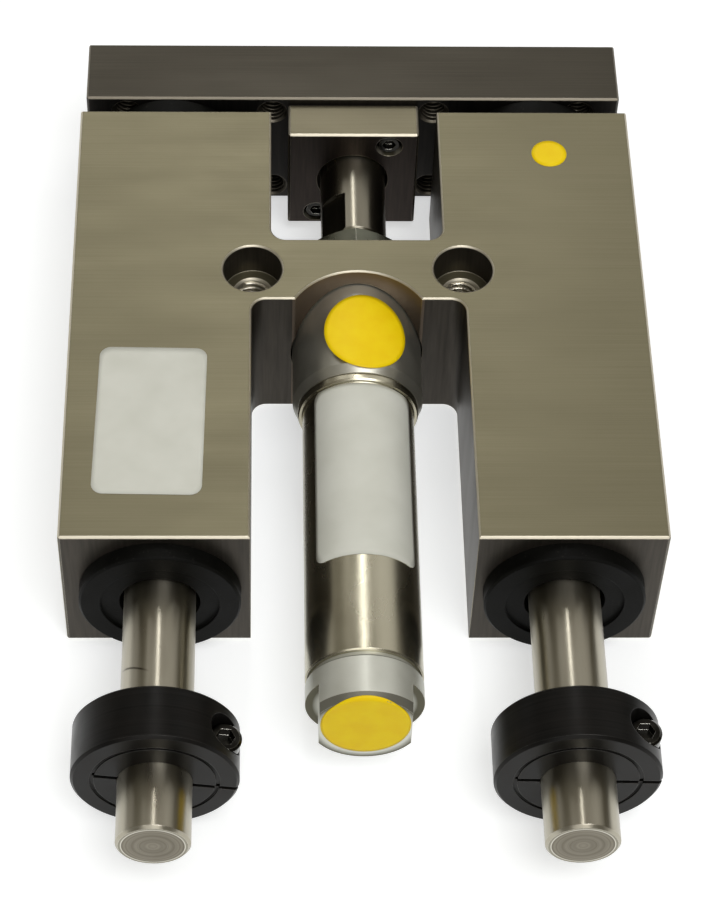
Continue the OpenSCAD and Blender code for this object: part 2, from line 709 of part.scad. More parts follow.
module stop_collar(x, turn)
    color("#26282b") turn_on_shaft(x, turn) difference() {
        turned(ring_profile(shaft_r + fit, collar_od / 2, collar_front, collar_rear, collar_chamfer), x);
        turned([
            [collar_groove_d / 2 - groove_w / 2, collar_front - eps],
            [collar_groove_d / 2 + groove_w / 2, collar_front - eps],
            [collar_groove_d / 2 + groove_w / 2, collar_front + groove_h],
            [collar_groove_d / 2 - groove_w / 2, collar_front + groove_h],
        ], x);
        translate([x, collar_front - eps, shaft_z - collar_slit / 2])
            cube([collar_od, collar_w + 2 * eps, collar_slit]);
        translate([x - collar_groove_d / 2, collar_front - eps, shaft_z - collar_slit / 2])
            cube([collar_groove_d / 2, collar_w + 2 * eps, collar_slit]);
        at_clamp_screw(x) {
            cylinder(r = clamp_head_d / 2 + head_gap, h = collar_od);
            translate([0, 0, -clamp_seat_z - collar_slit])
                cylinder(d = clamp_screw_d + shank_gap, h = clamp_seat_z + 2 * collar_slit);
            translate([0, 0, -collar_od]) cylinder(d = clamp_screw_d + slip, h = collar_od);
        }
    }

module collar_screw(x, turn)
    color("#1f2022") turn_on_shaft(x, turn) at_clamp_screw(x)
        cap_screw(clamp_screw_d, clamp_screw_l, clamp_head_d, clamp_head_h);

slide_body();
bearing_shell(-shaft_x, front_bearing_y);  // bearing_shell_front_left
bearing_shell(shaft_x, front_bearing_y);  // bearing_shell_front_right
bearing_shell(-shaft_x, rear_bearing_y);  // bearing_shell_rear_left
bearing_shell(shaft_x, rear_bearing_y);  // bearing_shell_rear_right
bearing_cage(-shaft_x, front_bearing_y);  // bearing_cage_front_left
bearing_cage(shaft_x, front_bearing_y);  // bearing_cage_front_right
bearing_cage(-shaft_x, rear_bearing_y);  // bearing_cage_rear_left
bearing_cage(shaft_x, rear_bearing_y);  // bearing_cage_rear_right
bearing_balls(-shaft_x, front_bearing_y);  // bearing_balls_front_left
bearing_balls(shaft_x, front_bearing_y);  // bearing_balls_front_right
bearing_balls(-shaft_x, rear_bearing_y);  // bearing_balls_rear_left
bearing_balls(shaft_x, rear_bearing_y);  // bearing_balls_rear_right
wiper_seals();
bumper(-shaft_x, body_front, -1, front_bumper_t);  // bumper_front_left
bumper(shaft_x, body_front, -1, front_bumper_t);  // bumper_front_right
bumper(-shaft_x, body_rear, 1, rear_bumper_t);  // bumper_rear_left
bumper(shaft_x, body_rear, 1, rear_bumper_t);  // bumper_rear_right
cylinder_head();
rod_bushing();
rod_seal();
rod_wiper();
nose_nut();
cylinder_tube();
cylinder_rear_cap();
tube_seals();
piston();
piston_seals();
piston_rod();
rod_coupler();
coupling_block();
block_screws();
tool_plate();
shaft_screws();
guide_shaft(-shaft_x);  // guide_shaft_left
guide_shaft(shaft_x);  // guide_shaft_right
stop_collar(-shaft_x, collar_turn_left);  // stop_collar_left
stop_collar(shaft_x, collar_turn_right);  // stop_collar_right
collar_screw(-shaft_x, collar_turn_left);  // collar_screw_left
collar_screw(shaft_x, collar_turn_right);  // collar_screw_right
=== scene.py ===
import json
import math

import bmesh
import bpy
from mathutils import Matrix, Vector


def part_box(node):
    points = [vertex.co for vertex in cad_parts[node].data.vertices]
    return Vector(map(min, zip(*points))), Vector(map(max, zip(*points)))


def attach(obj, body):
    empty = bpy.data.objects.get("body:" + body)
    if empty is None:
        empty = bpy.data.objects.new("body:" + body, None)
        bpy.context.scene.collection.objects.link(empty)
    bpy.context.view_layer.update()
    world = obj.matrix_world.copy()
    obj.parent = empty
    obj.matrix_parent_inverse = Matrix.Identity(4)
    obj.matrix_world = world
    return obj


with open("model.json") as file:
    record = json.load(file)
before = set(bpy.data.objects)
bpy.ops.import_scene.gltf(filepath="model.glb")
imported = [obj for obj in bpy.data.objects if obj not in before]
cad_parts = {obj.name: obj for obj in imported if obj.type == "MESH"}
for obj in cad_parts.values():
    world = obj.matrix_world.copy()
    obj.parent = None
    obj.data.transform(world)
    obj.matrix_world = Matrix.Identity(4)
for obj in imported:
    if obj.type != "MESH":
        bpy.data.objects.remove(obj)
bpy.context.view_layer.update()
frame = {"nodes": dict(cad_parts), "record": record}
millimetre = 0.001
print("Frame loaded:", len(frame["nodes"]), "CAD pieces")


# Small helpers

def toLinear(hexColour):
    levels = [int(hexColour[i:i + 2], 16) / 255 for i in (1, 3, 5)]
    return (*[v / 12.92 if v <= 0.04045 else ((v + 0.055) / 1.055) ** 2.4 for v in levels], 1.0)


def addNode(tree, kind, inputs=None, **settings):
    node = tree.nodes.new(kind)
    for name, value in settings.items():
        setattr(node, name, value)
    for socket, value in (inputs or {}).items():
        if isinstance(value, bpy.types.NodeSocket):
            tree.links.new(value, node.inputs[socket])
        else:
            node.inputs[socket].default_value = value
    return node


def startMaterial(name):
    material = bpy.data.materials.new(name)
    material.use_nodes = True
    tree = material.node_tree
    tree.nodes.clear()
    surface = addNode(tree, "ShaderNodeBsdfPrincipled")
    addNode(tree, "ShaderNodeOutputMaterial", {"Surface": surface.outputs["BSDF"]})
    return material, tree, surface


# Noise drawn out to a length in mm along X, Y and Z, from 0 to 1
def marks(tree, size, detail=3.0, contrast=(0.3, 0.7)):
    coords = addNode(tree, "ShaderNodeTexCoord")
    stretch = addNode(tree, "ShaderNodeMapping", {
        "Vector": coords.outputs["Object"], "Scale": [1 / (s * millimetre) for s in size]})
    noise = addNode(tree, "ShaderNodeTexNoise", {
        "Vector": stretch.outputs["Vector"], "Scale": 1.0, "Detail": detail})
    return addNode(tree, "ShaderNodeMapRange", {
        "Value": noise.outputs["Fac"], "From Min": contrast[0], "From Max": contrast[1]}).outputs["Result"]


# One colour laid over another, hex or from a node, where every mask is 1
def layOver(tree, under, over, *masks):
    amount = masks[0]
    for mask in masks[1:]:
        amount = addNode(tree, "ShaderNodeMath", {0: amount, 1: mask}, operation="MULTIPLY").outputs[0]
    under, over = [toLinear(c) if isinstance(c, str) else c for c in (under, over)]
    return addNode(tree, "ShaderNodeMix", {0: amount, 6: under, 7: over}, data_type="RGBA").outputs[2]


# 1 where the surface faces along an axis by more than end, and 0 where by less than start
def facingMask(tree, axis, start, end):
    coords = addNode(tree, "ShaderNodeTexCoord")
    facing = addNode(tree, "ShaderNodeSeparateXYZ", {0: coords.outputs["Normal"]})
    squarely = addNode(tree, "ShaderNodeMath", {0: facing.outputs[axis]}, operation="ABSOLUTE")
    return addNode(tree, "ShaderNodeMapRange", {
        "Value": squarely.outputs[0], "From Min": start, "From Max": end}).outputs["Result"]


# Distance in mm from a point, leaving out some axes, the same on the left and on the right
def distanceFrom(tree, centre, leftOut):
    coords = addNode(tree, "ShaderNodeTexCoord")
    folded = addNode(tree, "ShaderNodeVectorMath", {0: coords.outputs["Object"]}, operation="ABSOLUTE")
    parts = addNode(tree, "ShaderNodeSeparateXYZ", {0: coords.outputs["Object"]})
    side = addNode(tree, "ShaderNodeSeparateXYZ", {0: folded.outputs["Vector"]})
    point = addNode(tree, "ShaderNodeCombineXYZ", {
        0: side.outputs["X"], 1: parts.outputs["Y"], 2: parts.outputs["Z"]})
    offset = addNode(tree, "ShaderNodeVectorMath", {
        0: point.outputs["Vector"], 1: [c * millimetre for c in centre]}, operation="SUBTRACT")
    kept = [0 if axis in leftOut else 1 / millimetre for axis in "XYZ"]
    across = addNode(tree, "ShaderNodeVectorMath", {
        0: offset.outputs["Vector"], 1: kept}, operation="MULTIPLY")
    away = addNode(tree, "ShaderNodeVectorMath", {0: across.outputs["Vector"]}, operation="LENGTH")
    return away.outputs["Value"]


# 1 along edges and 0 on the faces between them, with the rounded normal that shows it
def edges(tree, radius):
    sharpTurn, softTurn = 0.99, 0.85  # cosines between the rounded and the real normal
    rounded = addNode(tree, "ShaderNodeBevel", {"Radius": radius * millimetre}, samples=6)
    flat = addNode(tree, "ShaderNodeNewGeometry")
    turn = addNode(tree, "ShaderNodeVectorMath", {
        0: rounded.outputs["Normal"], 1: flat.outputs["Normal"]}, operation="DOT_PRODUCT")
    worn = addNode(tree, "ShaderNodeMapRange", {
        "Value": turn.outputs["Value"], "From Min": sharpTurn, "From Max": softTurn})
    return worn.outputs["Result"], rounded.outputs["Normal"]


# Worn edges, rubbed more in some patches than in others
def rubbedEdges(tree, worn, patches, rub):
    patchy = addNode(tree, "ShaderNodeMapRange", {"Value": patches, "To Min": rub[0], "To Max": rub[1]})
    return addNode(tree, "ShaderNodeMath", {
        0: worn, 1: patchy.outputs["Result"]}, operation="MULTIPLY").outputs[0]


# The end of every finish: its colour, roughness that varies in patches, and a bump
def finishSurface(tree, surface, s, colour, patches, height, normal):
    tree.links.new(colour, surface.inputs["Base Color"])
    low, high = s["roughness"]
    rough = addNode(tree, "ShaderNodeMapRange", {"Value": patches, "To Min": low, "To Max": high})
    tree.links.new(rough.outputs["Result"], surface.inputs["Roughness"])
    bump = addNode(tree, "ShaderNodeBump", {
        "Strength": s["bump"], "Distance": s["depth"] * millimetre, "Height": height, "Normal": normal})
    tree.links.new(bump.outputs["Normal"], surface.inputs["Normal"])


def mountOf(name):
    return next(m for m in frame["record"]["mounts"] if m["name"] == name)


def halfWidthOf(name):
    low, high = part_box(name)
    return (high.x - low.x) / 2 / millimetre


def middleOf(name):
    low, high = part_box(name)
    return (low + high) / 2 / millimetre


# Camera

cameraSettings = {
    "place": (-16.98, -336.72, 420.83),  # mm, from the middle of the web's base
    "pan": -1.829,  # degrees
    "tilt": -52.903,
    "roll": 1.512,
    "lens": 110.74,
    "shift": (0.0416, 0.002),
}


def addCamera(settings):
    data = bpy.data.cameras.new("camera")
    data.lens = settings["lens"]
    data.shift_x, data.shift_y = settings["shift"]
    data.clip_start = 0.01
    camera = bpy.data.objects.new("camera", data)
    bpy.context.scene.collection.objects.link(camera)
    camera.matrix_world = (
        Matrix.Translation(Vector(settings["place"]) * millimetre)
        @ Matrix.Rotation(math.radians(settings["pan"]), 4, "Z")
        @ Matrix.Rotation(math.radians(90 + settings["tilt"]), 4, "X")
        @ Matrix.Rotation(math.radians(settings["roll"]), 4, "Z")
    )
    bpy.context.scene.camera = camera


# Light: a plain room, paler overhead, one long ceiling lamp and five soft panels round it

roomSettings = {
    "bands": ((0.0, "#262523"), (0.5, "#57534a"), (0.62, "#69655a"), (0.8, "#7e7a6f"), (1.0, "#959188")),
    "strength": 1.0,
    "lamps": (
        {"name": "ceilingLamp", "place": (-0.01, 0.84, 1.11), "size": (0.10, 0.45), "power": 1.6},
        {"name": "panelKey", "place": (0.30, -0.70, 1.40), "size": (0.8, 0.8), "power": 11},
        {"name": "panelRight", "place": (0.77, 0.90, 0.92), "size": (1.2, 0.8), "power": 1.6},
        {"name": "panelRear", "place": (-0.35, 1.40, 1.00), "size": (1.2, 0.8), "power": 3},
        {"name": "panelFront", "place": (-0.10, -0.98, 0.72), "size": (0.9, 0.40), "power": 2.4},
        {"name": "panelLeft", "place": (-1.20, 0.90, 0.30), "size": (1.2, 0.7), "power": 1.0},
    ),
}


def addRoom(settings):
    world = bpy.data.worlds.new("room")
    bpy.context.scene.world = world
    world.use_nodes = True
    tree = world.node_tree
    tree.nodes.clear()
    coords = addNode(tree, "ShaderNodeTexCoord")
    height = addNode(tree, "ShaderNodeSeparateXYZ", {0: coords.outputs["Generated"]})
    level = addNode(tree, "ShaderNodeMapRange", {"Value": height.outputs["Z"], "From Min": -1.0})
    ramp = addNode(tree, "ShaderNodeValToRGB", {"Fac": level.outputs["Result"]})
    stops = ramp.color_ramp.elements
    for place, colour in settings["bands"][1:-1]:
        stops.new(place)
    for stop, (place, colour) in zip(stops, settings["bands"]):
        stop.position = place
        stop.color = toLinear(colour)
    light = addNode(tree, "ShaderNodeBackground", {
        "Color": ramp.outputs["Color"], "Strength": settings["strength"]})
    addNode(tree, "ShaderNodeOutputWorld", {"Surface": light.outputs["Background"]})
    for lamp in settings["lamps"]:
        data = bpy.data.lights.new(lamp["name"], "AREA")
        data.shape = "RECTANGLE"
        data.size, data.size_y = lamp["size"]
        data.energy = lamp["power"]
        thing = bpy.data.objects.new(lamp["name"], data)
        bpy.context.scene.collection.objects.link(thing)
        thing.location = lamp["place"]
        thing.rotation_euler = thing.location.to_track_quat("Z", "Y").to_euler()


# Floor: matt white board, with faint clouds in its white

floorSettings = {
    "colours": ("#d6d8d9", "#dddfe0"),
    "cloud": 90,  # mm
    "roughness": 0.9,
    "specular": 0.1,
    "side": 8.0,  # m
    "white": "#fdfeff",
    "lift": 0.56,  # how far towards white
}


def addFloor(settings):
    shape = bmesh.new()
    bmesh.ops.create_grid(shape, x_segments=4, y_segments=4, size=settings["side"] / 2)
    mesh = bpy.data.meshes.new("floor")
    shape.to_mesh(mesh)
    shape.free()
    floor = bpy.data.objects.new("floor", mesh)
    bpy.context.scene.collection.objects.link(floor)
    material, tree, surface = startMaterial("matt white board")
    surface.inputs["Roughness"].default_value = settings["roughness"]
    surface.inputs["Specular IOR Level"].default_value = settings["specular"]
    colour = layOver(tree, *settings["colours"], marks(tree, [settings["cloud"]] * 3))
    tree.links.new(colour, surface.inputs["Base Color"])
    # Lifted to white where it is seen or mirrored, while the shadow still darkens it
    ray = addNode(tree, "ShaderNodeLightPath")
    seen = addNode(tree, "ShaderNodeMath", {
        0: ray.outputs["Is Camera Ray"], 1: ray.outputs["Is Glossy Ray"]}, operation="MAXIMUM")
    seen = addNode(tree, "ShaderNodeMath", {
        0: seen.outputs[0], 1: ray.outputs["Is Transmission Ray"]}, operation="MAXIMUM")
    amount = addNode(tree, "ShaderNodeMath", {
        0: seen.outputs[0], 1: settings["lift"]}, operation="MULTIPLY")
    glow = addNode(tree, "ShaderNodeEmission", {
        "Color": toLinear(settings["white"]), "Strength": amount.outputs[0]})
    both = addNode(tree, "ShaderNodeAddShader", {0: surface.outputs["BSDF"], 1: glow.outputs["Emission"]})
    output = next(n for n in tree.nodes if n.type == "OUTPUT_MATERIAL")
    tree.links.new(both.outputs["Shader"], output.inputs["Surface"])
    mesh.materials.append(material)


# Hard anodised aluminium, brushed on the broad faces and milled in the pockets: satin olive grey, fine
# lines across; painted shade darkens upright faces and pockets; bare at worn edges, a painted highlight on
# chamfers

bodySettings = {
    "name": "hard anodised aluminium body",
    "brushed": ("#757059", "#7d7761"),
    # painted shade: the upright faces and pockets drawn darker than the broad faces, with cutter marks
    "milled": ("#3e3a34", "#4a453e"),
    "bored": "#6d6053",  # the relief's wall, painted lighter as the light that falls on it
    "thread": "#d8d2c2",  # tapped after anodising
    # bare metal at worn edges, and a painted highlight on the chamfers
    "edge": "#cfc8b6",
    "flat": (0.8, 0.95),  # how squarely up or down a broad face looks, fading in
    "slope": (0.3, 0.5),  # and a chamfer, which takes the edge colour as a painted highlight
    "skin": (0.2, 0.1),  # mm, how far in from the outer sides the brushing counts, fading in
    "wall": (0.5, 0.4),  # mm from a bore's wall, fading in
    "metallic": 0.85,
    "roughness": (0.40, 0.46),
    "brushLine": (34, 0.16, 34),  # mm, coarser than the real 0.05 mm so that it shows
    "cutterMark": (0.5, 0.5, 9),
    "patch": (26, 9, 26),
    "wear": 0.28,  # mm
    "rub": (0.35, 0.95),  # how bare the worn edges are, from patch to patch
    "bump": 0.3,
    "depth": 0.004,  # mm
}

plateSettings = dict(bodySettings, **{
    "name": "hard anodised aluminium plate",
    "brushed": ("#403c34", "#48443b"),
    # painted shade, darker still where the plate's upright faces stand in the gap
    "milled": ("#242220", "#2e2b28"),
    # painted shade: the tapped holes drawn dark as the shade inside them, though the tapped metal is bright
    "thread": "#4d483f",
    "edge": "#7a7468",
})

blockSettings = dict(bodySettings, **{
    "name": "hard anodised aluminium block",
    "brushed": ("#756f5b", "#7c7662"),
    # painted shade on the block's upright faces
    "milled": ("#302a26", "#3b332e"),
})


# tapped is the tapped holes' axis with the centre and radius of each, and bored the relief's
# centre and radius, whose wall is painted lighter as lit
def anodisedAluminium(s, halfWidth, tapped, bored=None):
    material, tree, surface = startMaterial(s["name"])
    surface.inputs["Metallic"].default_value = s["metallic"]
    lines = marks(tree, s["brushLine"], detail=4.0)
    cuts = marks(tree, s["cutterMark"], detail=2.0)
    patches = marks(tree, s["patch"], detail=4.0)
    worn, rounded = edges(tree, s["wear"])

    deep, shallow = s["skin"]
    outerSide = addNode(tree, "ShaderNodeMapRange", {
        "Value": distanceFrom(tree, (0, 0, 0), "YZ"),
        "From Min": halfWidth - deep, "From Max": halfWidth - shallow})
    broadFace = addNode(tree, "ShaderNodeMath", {
        0: facingMask(tree, "Z", *s["flat"]), 1: outerSide.outputs["Result"]},
        operation="MAXIMUM").outputs[0]
    # Chamfers painted in the edge colour: a painted highlight along them
    chamfer = addNode(tree, "ShaderNodeMath", {
        0: facingMask(tree, "Z", *s["slope"]), 1: facingMask(tree, "Z", *reversed(s["flat"]))},
        operation="MULTIPLY")

    # Upright faces and pockets take the painted shade colour, with cutter marks
    milled = layOver(tree, *s["milled"], cuts)
    far, near = s["wall"]
    # The relief's wall painted lighter: a painted pool of light on it
    if bored:
        centre, radius = bored
        off = addNode(tree, "ShaderNodeMath", {
            0: distanceFrom(tree, centre, "Z"), 1: radius}, operation="SUBTRACT")
        off = addNode(tree, "ShaderNodeMath", {0: off.outputs[0]}, operation="ABSOLUTE")
        onWall = addNode(tree, "ShaderNodeMapRange", {
            "Value": off.outputs[0], "From Min": far, "From Max": near})
        milled = layOver(tree, milled, s["bored"], onWall.outputs["Result"])
    # Brushed colour on the broad faces, painted shade everywhere else
    face = layOver(tree, milled, layOver(tree, *s["brushed"], lines), broadFace)
    axis, holes = tapped
    for centre, radius in holes:
        inHole = addNode(tree, "ShaderNodeMapRange", {
            "Value": distanceFrom(tree, centre, axis), "From Min": radius + far, "From Max": radius + near})
        face = layOver(tree, face, s["thread"], inHole.outputs["Result"])

    # Worn edges and the painted chamfer highlight both take the edge colour
    wornAndHighlit = addNode(tree, "ShaderNodeMath", {
        0: rubbedEdges(tree, worn, patches, s["rub"]), 1: chamfer.outputs[0]}, operation="MAXIMUM")
    colour = layOver(tree, face, s["edge"], wornAndHighlit.outputs[0])
    height = addNode(tree, "ShaderNodeMix", {0: broadFace, 2: cuts, 3: lines}, data_type="FLOAT")
    finishSurface(tree, surface, s, colour, patches, height.outputs[0], rounded)
    return material


# Bare metals. marks are the lines that the tool left, in mm: rings on turned and ground pieces,
# lengthwise on drawn tube

steelSettings = {
    "name": "ground shaft steel",  # centreless ground: mirrors the room, softened round the shaft
    "colours": ("#a19b8c", "#afaa9b"),
    "edge": "#d9d5c9",
    "metallic": 1.0,
    "roughness": (0.27, 0.34),
    "marks": (40, 0.16, 40),
    "patch": (3, 22, 3),
    "blur": 0.75,  # how much further the tool's lines blur a reflection across them
    "linesAlong": False,
    "wear": 0.15,  # mm
    "bump": 0.5,
    "depth": 0.0015,  # mm
    "end": None,
    "scratch": None,
    "rim": None,
}

# The ends of the shafts: rings from the facing tool, then near the rim a painted highlight, a bright line
# and a duller band that stand for the chamfer's highlight
shaftEnd = {
    "rings": ("#6a6457", "#827c6e"),
    "ringScale": 1.6,  # per mm
    "contrast": (0.35, 0.65),
    "flat": (0.9, 0.99),  # how squarely the end looks along the shaft, fading in
    # painted highlight: a bright line and a duller band, in place of the chamfer's highlight
    "bands": ((1.12, 1.0, "#d9d5c9"), (0.95, 0.85, "#8f8b7d")),  # mm in from the rim, fading in
}

# A dark scratch that curves over the left shaft's outer side, thinning at both ends
scratch = {
    "colour": "#3d382f",
    "fromFront": 21.5,  # mm, from the body's front to where it starts
    "slope": 0.5,
    "halfWidth": 0.32,
    "across": (1.2, 2.7, 5.2, 6.2),  # mm out from the shaft's axis, fading in and then out
}

# The rear cap: its chamfer painted dull and dark, and a dark ring painted round the edge of its face, both
# painted shade
capRimShade = {
    # painted shade: the chamfer drawn darker than the bar
    "chamfer": "#77756a",
    "sloping": ((0.4, 0.6), (0.95, 0.85)),  # how squarely it looks along the cap, fading in and then out
    # painted shade: a dark ring round the edge of the face
    "stain": "#55523f",
    "stained": (7.9, 9.1),  # mm from the axis, fading in
    "flat": (0.9, 0.99),
}

metalSettings = {
    "ground shaft steel": dict(steelSettings, **{"end": shaftEnd, "scratch": scratch}),
    "turned coupler steel": dict(steelSettings, **{
        # turned bar: satin, with rings round it
        "name": "turned coupler steel", "colours": ("#8d887a", "#9c9789"), "roughness": (0.26, 0.34)}),
    "bearing steel": dict(steelSettings, **{
        # lapped and hardened: near mirror, bluish
        "name": "bearing steel", "colours": ("#b3b3b2", "#c4c5c6"), "roughness": (0.12, 0.2)}),
    "zinc plated steel": dict(steelSettings, **{
        # passivated zinc: pale grey with a green cast and a soft shine
        "name": "zinc plated steel", "colours": ("#8f9285", "#a8aa9c"), "roughness": (0.24, 0.36),
        "marks": (1.2, 1.2, 1.2), "patch": (4, 4, 4), "depth": 0.003}),
    "drawn stainless tube": dict(steelSettings, **{
        # drawn and lightly polished: lines along the tube spread its reflections across it
        "name": "drawn stainless tube", "colours": ("#bbb5a0", "#c8c3af"), "roughness": (0.22, 0.30),
        "marks": (0.25, 30, 0.25), "patch": (8, 18, 8), "depth": 0.0006,
        "linesAlong": True, "blur": 0.3, "wear": 0.08}),
    "turned aluminium": dict(steelSettings, **{
        # bright machined bar: fine rings round it
        "name": "turned aluminium", "colours": ("#cfd0c6", "#dbdcd3"), "roughness": (0.38, 0.48),
        "marks": (40, 0.22, 40), "patch": (6, 6, 6), "depth": 0.002, "metallic": 0.6, "blur": 0.4,
        "rim": capRimShade}),
    "turned head aluminium": dict(steelSettings, **{
        # the same bar as the cap, painted darker as the shade it sits in within the relief: grey satin,
        # darkest down its flanks
        "name": "turned head aluminium", "colours": ("#b0aea3", "#bebcb1"), "roughness": (0.34, 0.42),
        "marks": (40, 0.22, 40), "patch": (6, 6, 6), "depth": 0.002, "metallic": 0.85, "blur": 0.4}),
    "cut aluminium thread": dict(steelSettings, **{
        # bare metal straight from the tap: bright torn flanks
        "name": "cut aluminium thread", "colours": ("#dcd6c6", "#ece7da"), "roughness": (0.25, 0.35),
        "marks": (0.3, 0.3, 0.3), "patch": (2, 2, 2), "depth": 0.004}),
    "blackened screw steel": dict(steelSettings, **{
        # burnished by the hex key: dark, but glinting
        "name": "blackened screw steel", "colours": ("#2c2b29", "#403f3c"), "edge": "#b5b3ac",
        "roughness": (0.14, 0.22), "marks": (0.4, 0.4, 0.4), "patch": (2, 2, 2), "depth": 0.003}),
    "sintered bronze": dict(steelSettings, **{
        # pressed powder, soaked in oil: brown, open grained and dull
        "name": "sintered bronze", "colours": ("#8a6637", "#a9814a"), "edge": "#c39a60",
        "roughness": (0.35, 0.5), "marks": (0.3, 0.3, 0.3), "patch": (2, 2, 2), "depth": 0.006}),
}


# Across the scratch, where it starts and where it ends
def scratchMasks(tree, s):
    middle = middleOf("guide_shaft_left").x
    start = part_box("slide_body")[0].y / millimetre - s["fromFront"]
    coords = addNode(tree, "ShaderNodeTexCoord")
    parts = addNode(tree, "ShaderNodeSeparateXYZ", {0: coords.outputs["Object"]})
    out = addNode(tree, "ShaderNodeMath", {
        0: parts.outputs["X"], 1: -1 / millimetre, 2: middle}, operation="MULTIPLY_ADD").outputs[0]
    along = addNode(tree, "ShaderNodeMath", {
        0: parts.outputs["Y"], 1: 1 / millimetre, 2: -start}, operation="MULTIPLY_ADD").outputs[0]
    off = addNode(tree, "ShaderNodeMath", {0: out, 1: -s["slope"], 2: along}, operation="MULTIPLY_ADD")
    off = addNode(tree, "ShaderNodeMath", {0: off.outputs[0]}, operation="ABSOLUTE").outputs[0]
    near, nearFull, farFull, far = s["across"]
    limits = ((off, s["halfWidth"], 0.0), (out, near, nearFull), (out, far, farFull))
    return [
        addNode(tree, "ShaderNodeMapRange", {"Value": value, "From Min": low, "From Max": high}).outputs[0]
        for value, low, high in limits]


def endColour(tree, s):
    radius = halfWidthOf("guide_shaft_right")
    away = distanceFrom(tree, middleOf("guide_shaft_right"), "Y")
    rings = addNode(tree, "ShaderNodeTexNoise", {
        "W": away, "Scale": s["ringScale"], "Detail": 2.0}, noise_dimensions="1D")
    pale = addNode(tree, "ShaderNodeMapRange", {
        "Value": rings.outputs[0], "From Min": s["contrast"][0], "From Max": s["contrast"][1]})
    colour = layOver(tree, *s["rings"], pale.outputs["Result"])
    # The painted highlight near the rim
    for inner, outer, tone in s["bands"]:
        paintedRimLight = addNode(tree, "ShaderNodeMapRange", {
            "Value": away, "From Min": radius - inner, "From Max": radius - outer})
        colour = layOver(tree, colour, tone, paintedRimLight.outputs["Result"])
    return colour


# The cap's painted shade: a darker chamfer and a dark ring round the edge of its face
def paintedRimShade(tree, colour, s):
    chamfer = [facingMask(tree, "Y", *limits) for limits in s["sloping"]]
    colour = layOver(tree, colour, s["chamfer"], *chamfer)
    stained = addNode(tree, "ShaderNodeMapRange", {
        "Value": distanceFrom(tree, middleOf("cylinder_rear_cap"), "Y"),
        "From Min": s["stained"][0], "From Max": s["stained"][1]})
    return layOver(tree, colour, s["stain"], stained.outputs["Result"], facingMask(tree, "Y", *s["flat"]))


def bareMetal(s):
    material, tree, surface = startMaterial(s["name"])
    surface.inputs["Metallic"].default_value = s["metallic"]
    surface.inputs["Anisotropic"].default_value = s["blur"]
    lines = marks(tree, s["marks"])
    patches = marks(tree, s["patch"], detail=4.0)
    worn, rounded = edges(tree, s["wear"])
    colour = layOver(tree, *s["colours"], patches)
    if s["rim"]:
        colour = paintedRimShade(tree, colour, s["rim"])
    if s["end"]:
        colour = layOver(tree, colour, endColour(tree, s["end"]), facingMask(tree, "Y", *s["end"]["flat"]))
    if s["scratch"]:
        colour = layOver(tree, colour, s["scratch"]["colour"], *scratchMasks(tree, s["scratch"]))
    colour = layOver(tree, colour, s["edge"], worn)
    # Highlights stretch across the tool's lines, which is along Y where they are rings
    across = addNode(tree, "ShaderNodeCombineXYZ", {1: 1.0}).outputs["Vector"]
    if s["linesAlong"]:
        outward = addNode(tree, "ShaderNodeNewGeometry").outputs["Normal"]
        around = addNode(tree, "ShaderNodeVectorMath", {0: outward, 1: across}, operation="CROSS_PRODUCT")
        # A face square to the tube has no such direction, so one is given
        given = (0.01, 0.0, 0.01)
        around = addNode(tree, "ShaderNodeVectorMath", {0: around.outputs["Vector"], 1: given})
        across = around.outputs["Vector"]
    tree.links.new(across, surface.inputs["Tangent"])
    finishSurface(tree, surface, s, colour, patches, lines, rounded)
    return material


# Black oxide on steel, oiled: blue-black satin with brown where it thins, greyer at the edges

oxideSettings = {
    "name": "black oxide steel",
    "colours": ("#161615", "#1f1e1d"),
    "thin": "#231e1a",
    "thinned": 0.35,  # at most
    "edge": "#5c5b59",
    "metallic": 0.5,
    "roughness": (0.30, 0.42),
    "specular": 0.14,
    "ring": (40, 0.3, 40),  # mm
    "patch": (5, 5, 5),
    "contrast": (0.35, 0.75),
    "wear": 0.18,  # mm
    "rub": (0.35, 0.9),
    "bump": 0.4,
    "depth": 0.004,  # mm
}


def blackOxide(s):
    material, tree, surface = startMaterial(s["name"])
    surface.inputs["Metallic"].default_value = s["metallic"]
    surface.inputs["Specular IOR Level"].default_value = s["specular"]
    rings = marks(tree, s["ring"])
    patches = marks(tree, s["patch"], detail=5.0, contrast=s["contrast"])
    worn, rounded = edges(tree, s["wear"])
    colour = layOver(tree, *s["colours"], rings)
    colour = layOver(tree, colour, s["thin"], patches, s["thinned"])
    colour = layOver(tree, colour, s["edge"], rubbedEdges(tree, worn, patches, s["rub"]))
    finishSurface(tree, surface, s, colour, patches, rings, rounded)
    return material


# Moulded rubbers and plastics: dark, with the fine grain of the mould and a few specks of dust

urethaneSettings = {
    # moulded urethane: dull near-black that soaks up light
    "colours": ("#080807", "#0f0f0d"),
    "speck": "#242320",
    "specks": 0.7,  # how much they cover
    "speckSize": 0.55,  # mm
    "speckContrast": (0.70, 0.74),
    "roughness": (0.42, 0.55),
    "specular": 0.07,
    "grain": 0.35,
    "patch": 6,
    "wear": 0.25,
    "bump": 0.5,
    "depth": 0.02,  # mm
}

mouldedSettings = {
    "bumper urethane": urethaneSettings,
    "nitrile seal": dict(urethaneSettings, **{
        # moulded nitrile: charcoal with a waxy bloom
        "colours": ("#141415", "#1e1e1f"), "speck": "#4a4946",
        "roughness": (0.5, 0.65), "specular": 0.4, "grain": 0.25}),
    "acetal cage": dict(urethaneSettings, **{
        # moulded acetal: slate grey, a little slick
        "colours": ("#3b3d40", "#4c4e52"), "speck": "#6a6a69",
        "roughness": (0.38, 0.5), "specular": 0.5, "grain": 0.3}),
}


